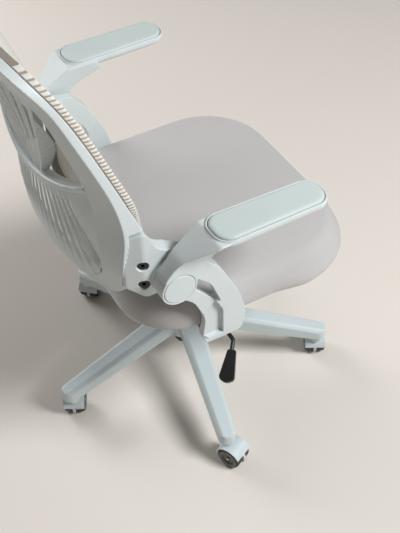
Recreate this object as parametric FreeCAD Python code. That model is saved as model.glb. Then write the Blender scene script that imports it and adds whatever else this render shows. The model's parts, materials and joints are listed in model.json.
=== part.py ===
import FreeCAD, Part
import math
import os

# Office task chair on a five-leg castor base, in millimetres.
# The chair faces -Y and its right side is -X. The origin is on the floor under the swivel axis.

V = FreeCAD.Vector

# Base and castors
LEG_COUNT = 5
FIRST_LEG_ANGLE = 95.5
LEG_TIP_RADIUS = 306.0
LEG_ROOT_RADIUS = 20.0
LEG_TOP_AT_TIP = 88.0
LEG_TOP_SLOPE = 0.262
LEG_HEIGHT_AT_TIP = 28.0
LEG_HEIGHT_AT_ROOT = 44.0
LEG_WIDTH_AT_TIP = 36.0
LEG_WIDTH_AT_ROOT = 47.0
LEG_BEVEL = 7.0
LEG_WALL = 4.0
HUB_RADIUS = 37.0
HUB_BOTTOM = 92.0
HUB_TOP = 152.0
CASTOR_RADIUS = 286.0
CASTOR_TRAIL = 18.0
CASTOR_HEADINGS = (330.0, 205.0, 330.0, 20.0, 318.0)
WHEEL_RADIUS = 25.0
WHEEL_WIDTH = 18.5
WHEEL_GAP = 7.0
WHEEL_CLEARANCE = 1.3
STEM_RADIUS = 5.45
STEM_TOP = 82.0
STEM_BOTTOM = 48.0
AXLE_RADIUS = 3.0
RUNNING_CLEARANCE = 0.05

# Gas column
TUBE_BOTTOM = 66.0
TUBE_TOP = 250.0
TUBE_RADIUS = 25.0
TUBE_WALL = 2.0
COLUMN_RADIUS = 14.0
COLUMN_BOTTOM = 84.0
COLUMN_TOP = 318.0
ROD_RADIUS = 5.0

# Tilt mechanism
TILT_Y = -55.0
TILT_Z = 352.0
TILT_AXLE_RADIUS = 6.0
CHANNEL_HALF_WIDTH = 46.5
SHEET_STEEL = 3.0
CHANNEL_FLOOR = 290.0
PLATE_BOTTOM = 378.0
PAN_BOTTOM = 382.0
PLATE_BOLTS = ((-78.0, -106.0), (78.0, -106.0), (-78.0, 86.0), (78.0, 86.0))
PAN_THICKNESS = 9.0
TENSION_Y = -98.0
KNOB_RADIUS = 24.0
LEVER_Z = 330.0
LEVER_PIVOT_X = -58.0
LEVER_PIVOT_Z = 340.0
LEVER_ROD_RADIUS = 4.0
LEVER_PIN_RADIUS = 2.5
LEVER_Y = 37.0

# Seat
SEAT_HALF_WIDTH = 250.0
SEAT_FRONT = -262.0
SEAT_REAR = 205.0
SEAT_FRONT_CORNER = 140.0
SEAT_REAR_CORNER = 112.0
CUSHION_BOTTOM = 383.0
PAN_INSET = 44.0
PAN_FIT = 0.5

# Side bracket, right side
BRACKET_OUTER_X = -276.0
BRACKET_INNER_X = -253.0
KNUCKLE_OUTER_X = -245.0
KNUCKLE_INNER_X = -216.0
KNUCKLE_SEAM = 0.8
KNUCKLE_BOLT_HOLE = 4.1
FOOT_INNER_X = -128.0
FOOT_BOTTOM = 371.0

# Armrest, right side
ARM_PIVOT_Y = 154.0
ARM_PIVOT_Z = 548.0
ARM_BOSS_RADIUS = 33.0
ARM_BOSS_OUTER_X = -287.0
ARM_BOSS_INNER_X = -255.0
ARM_PIN_RADIUS = 8.0
CAP_RADIUS = 28.6
CAP_DEPTH = 8.0
PAD_OUTER_X = -324.0
PAD_INNER_X = -248.0
PAD_FRONT_Y = -118.0
PAD_REAR_Y = 97.0
PAD_TOP = 651.0

# Backrest
BACK_BOTTOM = 497.0
BACK_TOP = 976.0
EDGE_HALF = 235.0
SHEET_HALF = 262.0
FRAME_SKIN = 9.0
MESH_THICKNESS = 1.6
CARRIER_DEPTH = 13.0

# Depth of the backrest at its side edge against height: (z, y of the edge, bulge to the rear at the middle)
REAR_LEVELS = (
    (470.0, 226.0, 46.0),
    (560.0, 222.0, 59.0),
    (642.0, 223.0, 63.0),
    (712.0, 229.0, 64.0),
    (781.0, 249.0, 60.0),
    (864.0, 280.0, 52.0),
    (918.0, 304.0, 44.0),
    (1000.0, 345.0, 32.0),
)
LOBE_LEVELS = (
    (470.0, 226.0, 51.0),
    (560.0, 222.0, 61.0),
    (642.0, 223.0, 61.0),
    (712.0, 229.0, 52.0),
    (781.0, 249.0, 48.0),
)
FRONT_LEVELS = (
    (470.0, 182.0, 24.0),
    (560.0, 173.0, 26.0),
    (600.0, 175.0, 27.0),
    (656.0, 190.0, 28.0),
    (733.0, 218.0, 28.0),
    (781.0, 236.0, 27.0),
    (848.0, 262.0, 26.0),
    (915.0, 293.0, 25.0),
    (1000.0, 335.0, 24.0),
)


def rounded_face(corners, place):
    """Face inside straight runs; each corner (u, v, radius) is rounded by a tangent arc."""
    count = len(corners)
    starts = []
    ends = []
    edges = []
    for i in range(count):
        u, v, radius = corners[i]
        before = FreeCAD.Vector(corners[i - 1][0] - u, corners[i - 1][1] - v, 0)
        after = FreeCAD.Vector(corners[(i + 1) % count][0] - u, corners[(i + 1) % count][1] - v, 0)
        before.normalize()
        after.normalize()
        half_angle = before.getAngle(after) / 2.0
        reach = radius / math.tan(half_angle)
        bisector = before + after
        start = V(u, v, 0) + before * reach
        end = V(u, v, 0) + after * reach
        starts.append(start)
        ends.append(end)
        if radius > 0:
            bisector.normalize()
            middle = V(u, v, 0) + bisector * (radius / math.sin(half_angle) - radius)
            edges.append((start, middle, end))
        else:
            edges.append(None)
    shapes = []
    for i in range(count):
        if edges[i]:
            start, middle, end = edges[i]
            shapes.append(Part.Arc(place(start), place(middle), place(end)).toShape())
        run_start = ends[i]
        run_end = starts[(i + 1) % count]
        if run_start.distanceToPoint(run_end) > 0.01:
            shapes.append(Part.LineSegment(place(run_start), place(run_end)).toShape())
    return Part.Face(Part.Wire(Part.__sortEdges__(shapes)))


def prism_x(corners, x0, x1, grow=0.0):
    """Side-view outline (y, z, radius), grown all round if asked, drawn out from x0 to x1."""
    face = rounded_face(corners, lambda p: V(x0, p.x, p.y))
    if grow > 0:
        face = face.makeOffset2D(grow)
    return face.extrude(V(x1 - x0, 0, 0))


def prism_y(corners, y0, y1):
    """Front-view outline (x, z, radius) drawn out from y0 to y1."""
    face = rounded_face(corners, lambda p: V(p.x, y0, p.y))
    return face.extrude(V(0, y1 - y0, 0))


def prism_z(corners, z0, z1, grow=0.0):
    """Plan outline (x, y, radius), grown all round if asked, drawn out from z0 to z1."""
    face = rounded_face(corners, lambda p: V(p.x, p.y, z0))
    if grow > 0:
        face = face.makeOffset2D(grow)
    return face.extrude(V(0, 0, z1 - z0))


def rectangle(u0, u1, v0, v1, radius=0.0):
    return ((u0, v0, radius), (u1, v0, radius), (u1, v1, radius), (u0, v1, radius))


def box(x0, x1, y0, y1, z0, z1):
    return Part.makeBox(x1 - x0, y1 - y0, z1 - z0, V(x0, y0, z0))


def rod(start, end, radius):
    axis = end - start
    return Part.makeCylinder(radius, axis.Length, start, axis)


def tilt_rod(half, radius):
    """Cylinder on the seat's tilt axis."""
    return rod(V(-half, TILT_Y, TILT_Z), V(half, TILT_Y, TILT_Z), radius)


def lever_pin_rod(half, radius):
    """Cylinder on the height lever's pivot axis."""
    return rod(V(LEVER_PIVOT_X, -half, LEVER_PIVOT_Z), V(LEVER_PIVOT_X, half, LEVER_PIVOT_Z), radius)


def arm_rod(x0, x1, radius):
    """Cylinder on the right armrest's pivot axis."""
    return rod(V(x0, ARM_PIVOT_Y, ARM_PIVOT_Z), V(x1, ARM_PIVOT_Y, ARM_PIVOT_Z), radius)


def ring_z(x, y, inner, outer, z0, z1):
    outside = Part.makeCylinder(outer, z1 - z0, V(x, y, z0))
    return outside.cut(Part.makeCylinder(inner, z1 - z0, V(x, y, z0)))


def cone_z(bottom_radius, top_radius, z0, z1):
    if abs(bottom_radius - top_radius) < 1e-6:
        return Part.makeCylinder(bottom_radius, z1 - z0, V(0, 0, z0))
    return Part.makeCone(bottom_radius, top_radius, z1 - z0, V(0, 0, z0))


def both_sides(half):
    """Outline of the -X half, bottom to top, closed by its mirror image."""
    return tuple(half) + tuple((-u, v, r) for u, v, r in reversed(half))


def mirrored(shape):
    return shape.mirror(V(0, 0, 0), V(1, 0, 0))


def fuse_all(shapes):
    return shapes[0].multiFuse(shapes[1:]).removeSplitter()


def cut_all(shape, tools):
    return shape.cut(Part.makeCompound(tools))


def turned(shape, angle):
    copy = shape.copy()
    copy.rotate(V(0, 0, 0), V(0, 0, 1), angle)
    return copy


def save(name, shape):
    solids = shape.Solids
    kept = solids[0] if len(solids) == 1 else Part.makeCompound(solids)
    kept.exportStep(os.path.join("parts", name + ".step"))
    print(name, len(solids), "solid(s)", round(kept.Volume / 1000.0, 1), "cm3", "valid", kept.isValid())


# Star base

def leg_section(radius, inset, floor):
    """Six-sided leg section at a distance from the axis: upright sides and bevelled upper edges."""
    share = (radius - LEG_ROOT_RADIUS) / (LEG_TIP_RADIUS - LEG_ROOT_RADIUS)
    half = LEG_WIDTH_AT_ROOT / 2 + share * (LEG_WIDTH_AT_TIP - LEG_WIDTH_AT_ROOT) / 2 - inset
    top = LEG_TOP_AT_TIP + LEG_TOP_SLOPE * (LEG_TIP_RADIUS - radius) - inset
    height = LEG_HEIGHT_AT_ROOT + share * (LEG_HEIGHT_AT_TIP - LEG_HEIGHT_AT_ROOT)
    bottom = top + inset - height - floor
    rows = ((-half, bottom), (half, bottom), (half, top - LEG_BEVEL), (half - LEG_BEVEL, top),
            (LEG_BEVEL - half, top), (-half, top - LEG_BEVEL), (-half, bottom))
    return Part.makePolygon([V(radius, y, z) for y, z in rows])


def leg_loft(r0, r1, inset, floor):
    return Part.makeLoft([leg_section(r0, inset, floor), leg_section(r1, inset, floor)], True, True)


def make_leg():
    """Leg along +X: open underneath, with cross ribs left between the pockets and a socket at the tip."""
    tip_centre = LEG_TIP_RADIUS - LEG_WIDTH_AT_TIP / 2
    leg = leg_loft(LEG_ROOT_RADIUS, LEG_TIP_RADIUS, 0.0, 0.0)
    plan = fuse_all([box(0, tip_centre, -60, 60, 0, 250),
                     Part.makeCylinder(LEG_WIDTH_AT_TIP / 2 + 0.5, 250, V(tip_centre, 0, 0))])
    leg = leg.common(plan)
    pocket_start = HUB_RADIUS + 8.0
    pocket_end = CASTOR_RADIUS - 18.0
    pocket_count = 4
    rib = 3.0
    pitch = (pocket_end - pocket_start + rib) / pocket_count
    pockets = []
    for i in range(pocket_count):
        start = pocket_start + i * pitch
        pockets.append(leg_loft(start, start + pitch - rib, LEG_WALL, 5.0))
    leg = cut_all(leg, pockets)
    socket_bore = Part.makeCylinder(STEM_RADIUS + RUNNING_CLEARANCE, STEM_TOP + 0.5, V(CASTOR_RADIUS, 0, 0))
    return leg.cut(socket_bore)


def make_star_base():
    leg = make_leg()
    legs = [turned(leg, FIRST_LEG_ANGLE + i * 360.0 / LEG_COUNT) for i in range(LEG_COUNT)]
    hub = Part.makeCylinder(HUB_RADIUS, HUB_TOP - HUB_BOTTOM, V(0, 0, HUB_BOTTOM))
    crown = Part.makeCone(HUB_RADIUS, HUB_RADIUS - 5.0, 6.0, V(0, 0, HUB_TOP))
    base = fuse_all(legs + [hub, crown])
    bore = cone_z(TUBE_RADIUS - 0.8 + 0.1, TUBE_RADIUS + 0.1, TUBE_BOTTOM, HUB_TOP - 2.0)
    relief = Part.makeCylinder(TUBE_RADIUS + 0.1, 40.0, V(0, 0, HUB_TOP - 2.0))
    base = cut_all(base, [bore, relief])
    above_hub = box(-80, 80, -80, 80, HUB_TOP + 6.0, 300)
    return base.cut(above_hub).removeSplitter()


# Castors: two wheels on one axle under a moulded hood, on a stem that turns in the leg

def make_castor(index):
    axle_at = V(CASTOR_TRAIL, 0, WHEEL_RADIUS)
    along = V(0, 1, 0)
    fender_radius = WHEEL_RADIUS + 4.0
    fender_half = WHEEL_GAP / 2 + WHEEL_WIDTH + 0.5
    web_half = WHEEL_GAP / 2 - 0.6
    reach = along * fender_half
    fender = rod(axle_at - reach, axle_at + reach, fender_radius)
    fender = fender.cut(rod(axle_at - reach, axle_at + reach, WHEEL_RADIUS + WHEEL_CLEARANCE))
    fender = fender.common(prism_y(((-20, 27, 0), (60, 40, 0), (60, 70, 0), (-20, 70, 0)), -40, 40))
    web = Part.makeCylinder(fender_radius - 0.5, 2 * web_half, axle_at - along * web_half, along)
    web = web.common(box(-20, 70, -10, 10, 12, 70))
    boss = Part.makeCylinder(10.5, 11.0, V(0, 0, 46.5))
    for side in (-1, 1):
        near = axle_at + along * (side * web_half)
        far = axle_at + along * (side * fender_half)
        boss = boss.cut(rod(near, far, WHEEL_RADIUS + WHEEL_CLEARANCE))
    hood = fuse_all([fender, web, boss])
    hood = hood.cut(Part.makeCylinder(STEM_RADIUS + RUNNING_CLEARANCE, 20.0, V(0, 0, STEM_BOTTOM)))
    hood = hood.cut(rod(axle_at - along * 30, axle_at + along * 30, AXLE_RADIUS + RUNNING_CLEARANCE))
    stem = Part.makeCylinder(STEM_RADIUS, STEM_TOP - STEM_BOTTOM, V(0, 0, STEM_BOTTOM))
    axle_half = fender_half - 1.0
    axle = rod(axle_at - along * axle_half, axle_at + along * axle_half, AXLE_RADIUS)
    profile = ((WHEEL_GAP / 2, 18.0, 0), (WHEEL_GAP / 2, WHEEL_RADIUS, 2.0),
               (WHEEL_GAP / 2 + WHEEL_WIDTH, WHEEL_RADIUS, 5.0), (WHEEL_GAP / 2 + WHEEL_WIDTH, 15.0, 0),
               (WHEEL_GAP / 2 + WHEEL_WIDTH - 4.0, 13.0, 0),
               (WHEEL_GAP / 2 + WHEEL_WIDTH - 4.0, AXLE_RADIUS + RUNNING_CLEARANCE, 0),
               (WHEEL_GAP / 2, AXLE_RADIUS + RUNNING_CLEARANCE, 0), (WHEEL_GAP / 2, 8.0, 0),
               (WHEEL_GAP / 2 + 4.0, 9.5, 0), (WHEEL_GAP / 2 + 4.0, 16.5, 0))
    face = rounded_face(profile, lambda p: axle_at + V(0, p.x, p.y))
    wheel = face.revolve(axle_at, along, 360)
    pieces = {"pins": Part.makeCompound([stem, axle]), "hood": hood, "wheel_left": wheel,
              "wheel_right": wheel.mirror(V(0, 0, 0), along)}
    angle = FIRST_LEG_ANGLE + index * 360.0 / LEG_COUNT
    heading = CASTOR_HEADINGS[index]
    for name in pieces:
        piece = turned(pieces[name], heading)
        piece.translate(V(CASTOR_RADIUS * math.cos(math.radians(angle)),
                          CASTOR_RADIUS * math.sin(math.radians(angle)), 0))
        pieces[name] = piece
    return pieces


# Gas column

def make_outer_tube():
    taper = cone_z(TUBE_RADIUS - 0.8, TUBE_RADIUS, TUBE_BOTTOM, HUB_TOP - 2.0)
    upper = Part.makeCylinder(TUBE_RADIUS, TUBE_TOP - HUB_TOP + 2.0, V(0, 0, HUB_TOP - 2.0))
    bore = Part.makeCylinder(TUBE_RADIUS - TUBE_WALL, TUBE_TOP, V(0, 0, TUBE_BOTTOM + 4.0))
    rod_hole = Part.makeCylinder(ROD_RADIUS + 1.0, 20.0, V(0, 0, TUBE_BOTTOM - 5.0))
    return cut_all(fuse_all([taper, upper]), [bore, rod_hole])


def make_guide_bush():
    sleeve = ring_z(0, 0, COLUMN_RADIUS + RUNNING_CLEARANCE, TUBE_RADIUS - TUBE_WALL - 0.05, 172.0, TUBE_TOP)
    flange = ring_z(0, 0, COLUMN_RADIUS + RUNNING_CLEARANCE, TUBE_RADIUS, TUBE_TOP, TUBE_TOP + 3.0)
    return fuse_all([sleeve, flange])


def make_thrust_bearing():
    return ring_z(0, 0, ROD_RADIUS + 1.0, 15.0, TUBE_BOTTOM + 4.0, TUBE_BOTTOM + 9.0)


def make_piston_rod():
    shaft = Part.makeCylinder(ROD_RADIUS, 134.0, V(0, 0, 66.0))
    neck = Part.makeCylinder(ROD_RADIUS - 0.8, 4.0, V(0, 0, 62.0))
    end = Part.makeCylinder(ROD_RADIUS, 3.0, V(0, 0, 59.0))
    collar = Part.makeCylinder(9.0, 4.0, V(0, 0, TUBE_BOTTOM + 9.1))
    piston = Part.makeCylinder(COLUMN_RADIUS - 2.0 - RUNNING_CLEARANCE, 9.0, V(0, 0, 198.0))
    return fuse_all([shaft, neck, end, collar, piston])


def make_retaining_clip():
    return ring_z(0, 0, ROD_RADIUS - 0.75, 10.0, 63.0, 65.5)


def make_gas_cylinder():
    body = Part.makeCylinder(COLUMN_RADIUS, 272.0 - COLUMN_BOTTOM, V(0, 0, COLUMN_BOTTOM))
    taper = cone_z(COLUMN_RADIUS, COLUMN_RADIUS - 1.0, 272.0, COLUMN_TOP)
    cavity = Part.makeCylinder(COLUMN_RADIUS - 2.0, 296.0 - COLUMN_BOTTOM - 7.0, V(0, 0, COLUMN_BOTTOM + 7.0))
    rod_hole = Part.makeCylinder(ROD_RADIUS + RUNNING_CLEARANCE, 30.0, V(0, 0, COLUMN_BOTTOM - 5.0))
    valve_bore = Part.makeCylinder(4.0 + RUNNING_CLEARANCE, 30.0, V(0, 0, 300.0))
    return cut_all(fuse_all([body, taper]), [cavity, rod_hole, valve_bore])


def make_valve_button():
    return fuse_all([Part.makeCylinder(4.0, 18.5, V(0, 0, 305.5)),
                     Part.makeCone(4.0, 3.0, 1.0, V(0, 0, 324.0))])


# Tilt mechanism

def make_mech_housing():
    """Pressed-steel channel with a taper socket for the column and ears for the lever pivot."""
    side = ((-122, CHANNEL_FLOOR, 8), (62, CHANNEL_FLOOR, 8), (62, 316, 6), (-30, 352, 20),
            (-42, 367, 8), (-72, 367, 8), (-122, 326, 8))
    channel = prism_x(side, -CHANNEL_HALF_WIDTH, CHANNEL_HALF_WIDTH)
    inner = CHANNEL_HALF_WIDTH - SHEET_STEEL
    hollow = box(-inner, inner, -200, 200, CHANNEL_FLOOR + SHEET_STEEL, 400)
    channel = channel.cut(hollow)
    end_wall = box(-inner - 1, inner + 1, 59, 62, CHANNEL_FLOOR, 312)
    socket = cone_z(18.0, 17.0, 272.0, 316.0)
    ears = [box(-66, -inner, y, y + SHEET_STEEL, 322, 347) for y in (-14.0, 11.0)]
    housing = fuse_all([channel, end_wall, socket] + ears)
    taper = cone_z(COLUMN_RADIUS + 0.05, COLUMN_RADIUS - 0.95, 272.0, 318.0)
    lever_window = prism_x(rectangle(-10.8, 10.8, 316, 348), -CHANNEL_HALF_WIDTH - 1, 1 - inner)
    pivot = tilt_rod(60.0, TILT_AXLE_RADIUS + RUNNING_CLEARANCE)
    lever_pin = lever_pin_rod(20.0, LEVER_PIN_RADIUS + RUNNING_CLEARANCE)
    stud_slot = prism_z(rectangle(-8, 8, -119, -88, 7.5), CHANNEL_FLOOR - 1, CHANNEL_FLOOR + 10)
    return cut_all(housing, [taper, lever_window, pivot, lever_pin, stud_slot])


def make_tilt_axle():
    half = 54.0
    shaft = tilt_rod(half, TILT_AXLE_RADIUS)
    heads = [rod(V(s * half, TILT_Y, TILT_Z), V(s * (half + 3), TILT_Y, TILT_Z), 8.5) for s in (-1, 1)]
    return fuse_all([shaft] + heads)


def make_seat_plate():
    """Steel plate under the seat with two lugs that hang on the tilt axle."""
    plate = prism_z(rectangle(-96, 96, -128, 108, 18), PLATE_BOTTOM, PAN_BOTTOM)
    lug = ((TILT_Y - 26, PLATE_BOTTOM + 1, 0), (TILT_Y - 13, TILT_Z - 13, 10),
           (TILT_Y + 13, TILT_Z - 13, 10), (TILT_Y + 26, PLATE_BOTTOM + 1, 0))
    lugs = [prism_x(lug, s * 48.0, s * 51.0) for s in (-1, 1)]
    flanges = [box(min(s * 93, s * 96), max(s * 93, s * 96), -105, 85, PLATE_BOTTOM - 9, PLATE_BOTTOM + 1)
               for s in (-1, 1)]
    plate = fuse_all([plate] + lugs + flanges)
    windows = [prism_z(rectangle(s * 55 - 14, s * 55 + 14, -10, 62, 12), 360, 400) for s in (-1, 1)]
    pivot = tilt_rod(60.0, TILT_AXLE_RADIUS + RUNNING_CLEARANCE)
    holes = [Part.makeCylinder(3.05, 40, V(x, y, 360)) for x, y in PLATE_BOLTS]
    return cut_all(plate, windows + [pivot] + holes)


def bolt_up(x, y, head_bottom, head_height, length):
    head = Part.makeCylinder(6.5, head_height, V(x, y, head_bottom))
    return fuse_all([head, Part.makeCylinder(3.0, length, V(x, y, head_bottom + head_height))])


def make_plate_bolts():
    return Part.makeCompound([bolt_up(x, y, PLATE_BOTTOM - 4.5, 4.5, 10.5) for x, y in PLATE_BOLTS])


def make_tension_stud():
    return Part.makeCylinder(4.0, PLATE_BOTTOM - 218.0, V(0, TENSION_Y, 218.0))


def make_tension_knob():
    """Hand knob on the stud: a deep cup around the spring with a fluted grip."""
    outside = Part.makeCylinder(KNOB_RADIUS, 44.0, V(0, TENSION_Y, 222.0))
    cavity = Part.makeCylinder(20.0, 40.0, V(0, TENSION_Y, 236.0))
    bore = Part.makeCylinder(4.1, 60.0, V(0, TENSION_Y, 210.0))
    flutes = []
    flute_count = 10
    for i in range(flute_count):
        angle = 2 * math.pi * i / flute_count
        flute_at = KNOB_RADIUS + 2.5
        centre = V(flute_at * math.cos(angle), TENSION_Y + flute_at * math.sin(angle), 210.0)
        flutes.append(Part.makeCylinder(4.5, 46.0, centre))
    return cut_all(outside, [cavity, bore] + flutes)


def make_spring_cup():
    disc = ring_z(0, TENSION_Y, 4.4, 18.5, 236.3, 239.0)
    collar = ring_z(0, TENSION_Y, 4.4, 8.5, 239.0, 247.0)
    return fuse_all([disc, collar])


def make_tension_spring():
    """Compression spring: half-turn arcs of one rising coil, swept by the wire."""
    wire_radius = 2.2
    coil_radius = 14.0
    bottom = 239.0 + wire_radius + 0.2
    top = CHANNEL_FLOOR - wire_radius - 0.2
    turns = 6
    steps = turns * 2

    def point(t):
        angle = 2 * math.pi * t * turns
        height = bottom + (top - bottom) * t
        return V(coil_radius * math.cos(angle), TENSION_Y + coil_radius * math.sin(angle), height)

    arcs = []
    for i in range(steps):
        arcs.append(Part.Arc(point(i / steps), point((i + 0.5) / steps), point((i + 1) / steps)).toShape())
    path = Part.Wire(arcs)
    coil = path.discretize(Number=40 * turns + 1)
    apart = [coil[i].distanceToPoint(coil[j]) for i in range(len(coil)) for j in range(i + 20, len(coil))]
    print("tension spring least gap", round(min(apart) - 2 * wire_radius, 2), "mm")
    tangent = arcs[0].tangentAt(arcs[0].FirstParameter)
    section = Part.Wire(Part.makeCircle(wire_radius, point(0), tangent))
    return path.makePipeShell([section], True, False)


def make_lever_bush():
    block = prism_x(rectangle(-10.5, 10.5, 322, 347, 4), -66, -50)
    bore = rod(V(-80, 0, LEVER_Z), V(-40, 0, LEVER_Z), LEVER_ROD_RADIUS + RUNNING_CLEARANCE)
    pin_hole = lever_pin_rod(20.0, LEVER_PIN_RADIUS + RUNNING_CLEARANCE)
    return cut_all(block, [bore, pin_hole])


def make_lever_pin():
    return lever_pin_rod(16.0, LEVER_PIN_RADIUS)


LEVER_ROUTE = (V(-3, 0, LEVER_Z), V(-118, 0, LEVER_Z), V(-185, LEVER_Y, LEVER_Z),
               V(-263, LEVER_Y, LEVER_Z), V(-281, 53, 318))


def rounded_path(points, radius):
    """Straight runs between points, joined by tangent arcs."""
    edges = []
    last = points[0]
    for i in range(1, len(points) - 1):
        before = points[i - 1] - points[i]
        after = points[i + 1] - points[i]
        before.normalize()
        after.normalize()
        half_angle = before.getAngle(after) / 2.0
        reach = radius / math.tan(half_angle)
        bisector = before + after
        bisector.normalize()
        start = points[i] + before * reach
        end = points[i] + after * reach
        middle = points[i] + bisector * (radius / math.sin(half_angle) - radius)
        edges.append(Part.LineSegment(last, start).toShape())
        edges.append(Part.Arc(start, middle, end).toShape())
        last = end
    edges.append(Part.LineSegment(last, points[-1]).toShape())
    return Part.Wire(edges)


def make_lever_rod():
    path = rounded_path(LEVER_ROUTE, 12.0)
    section = Part.Wire(Part.makeCircle(LEVER_ROD_RADIUS, LEVER_ROUTE[0], V(-1, 0, 0)))
    return path.makePipeShell([section], True, False)


def make_lever_paddle():
    """Flat paddle on the rod's end, wider and rounded at its far edge, drooping outward and back."""
    root = LEVER_ROUTE[-1]
    along = LEVER_ROUTE[-1] - LEVER_ROUTE[-2]
    along.normalize()
    across = V(0, 0, 1).cross(along)
    across.normalize()
    up = along.cross(across)
    half_thickness = 5.5

    def place(p):
        return root + along * p.x + across * p.y - up * half_thickness

    shape = ((-7, -7, 3), (48, -15, 8), (56, 0, 14), (48, 15, 8), (-7, 9, 3))
    paddle = rounded_face(shape, place).extrude(up * (2 * half_thickness))
    bore = rod(root - along * 8, root, LEVER_ROD_RADIUS + 0.02)
    return paddle.cut(bore)


# Seat

def seat_corners(inset):
    half = SEAT_HALF_WIDTH - inset
    front = SEAT_FRONT + inset
    rear = SEAT_REAR - inset
    front_radius = SEAT_FRONT_CORNER - 0.7 * inset
    rear_radius = SEAT_REAR_CORNER - 0.5 * inset
    return ((-half, front, front_radius), (half, front, front_radius),
            (half, rear, rear_radius), (-half, rear, rear_radius))


def seat_ring(inset, z):
    return rounded_face(seat_corners(inset), lambda p: V(p.x, p.y, z)).OuterWire


def pan_board(inset, z0, z1):
    return Part.makeLoft([seat_ring(inset, z0), seat_ring(inset - 10.0, z1)], True, True)


def make_seat_pan():
    """Moulded board: dished rim, stiffening ribs underneath around the plate."""
    top = PAN_BOTTOM + PAN_THICKNESS
    board = pan_board(PAN_INSET, PAN_BOTTOM, top)
    ribs = [box(-250, 250, y, y + 3, PAN_BOTTOM - 8, PAN_BOTTOM + 1) for y in (-190, -160)]
    ribs += [box(x, x + 3, -240, -135, PAN_BOTTOM - 8, PAN_BOTTOM + 1) for x in (-121.5, -1.5, 118.5)]
    rib_plan = prism_z(seat_corners(PAN_INSET + 8.0), PAN_BOTTOM - 10, PAN_BOTTOM + 5)
    pan = fuse_all([board] + [rib.common(rib_plan) for rib in ribs])
    places = list(PLATE_BOLTS) + bracket_bolt_places()
    return cut_all(pan, [Part.makeCylinder(3.05, 13.0, V(x, y, PAN_BOTTOM - 6.0)) for x, y in places])


# Inset from the seat's outline against height: drawn in underneath, rolled over the edge, then crowned
CUSHION_FULLEST = 397.0
CUSHION_UNDERSIDE = ((16.0, CUSHION_BOTTOM), (5.0, 387.0))
CUSHION_ROLL_WIDTH = 26.0
CUSHION_ROLL_HEIGHT = 55.0
CUSHION_ROLL_STEPS = 6
CUSHION_CROWN = ((45.0, 456.5), (80.0, 461.5), (130.0, 464.0))


def make_seat_cushion():
    """Foam block with rolled edges; its underside is hollowed where the board lies in it."""
    levels = list(CUSHION_UNDERSIDE)
    for step in range(CUSHION_ROLL_STEPS):
        angle = math.radians(90.0 * step / CUSHION_ROLL_STEPS)
        levels.append((CUSHION_ROLL_WIDTH * (1 - math.cos(angle)),
                       CUSHION_FULLEST + CUSHION_ROLL_HEIGHT * math.sin(angle)))
    levels.extend(CUSHION_CROWN)
    block = Part.makeLoft([seat_ring(inset, z) for inset, z in levels], True, True)
    return block.cut(pan_board(PAN_INSET - PAN_FIT, PAN_BOTTOM, PAN_BOTTOM + PAN_THICKNESS + 0.1))


# Side bracket: hooked moulding that carries the armrest and bolts the backrest to the seat

HOOK = ((116, 594, 6), (70, 545, 70), (34, 470, 150), (18, 410, 60), (28, FOOT_BOTTOM, 12),
        (104, FOOT_BOTTOM, 8), (96, 425, 60), (118, 478, 60), (162, 516, 10), (186, 548, 8), (160, 594, 8))
CRESCENT = ((118, 546, 3), (90, 518, 60), (64, 448, 4), (92, 482, 60), (118, 512, 3))
WEB_RECESS = ((66, FOOT_BOTTOM + 8, 5), (66, 440, 40), (122, 560, 4), (200, 560, 4), (130, 478, 30),
              (112, 425, 40), (112, FOOT_BOTTOM + 8, 5))
NECK_CLEARANCE = ((40, 630, 0), (84, 597.5, 20), (101, 583.5, 20), (124, 546, 0), (200, 548, 0),
                  (200, 660, 0), (40, 660, 0))
KNUCKLE_SIDE = ((108, 594, 8), (72, 548, 60), (58, 512, 30), (84, 490, 20), (150, 512, 60), (196, 514, 20),
                (230, 540, 24), (229, 641, 3), (190, 654, 6), (166, 604, 40))
KNUCKLE_PLAN = ((KNUCKLE_OUTER_X - 0.5, 40, 0), (KNUCKLE_OUTER_X, 196, 18), (-229, 226, 6),
                (KNUCKLE_INNER_X, 226, 0), (KNUCKLE_INNER_X, 150, 10), (-230, 128, 10), (-230, 40, 0))
FOOT_PLAN = ((BRACKET_OUTER_X, 32, 8), (FOOT_INNER_X, 44, 10), (FOOT_INNER_X, 92, 10),
             (BRACKET_OUTER_X, 100, 8))
KNUCKLE_BOLTS = (V(-245, 199, 584), V(-245, 199, 542))
BOLT_AXIS = V(0.86, -0.51, 0)


def bracket_bolt_places():
    return [(s * x, 68.0) for s in (-1, 1) for x in (148.0, 172.0, 196.0)]


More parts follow.
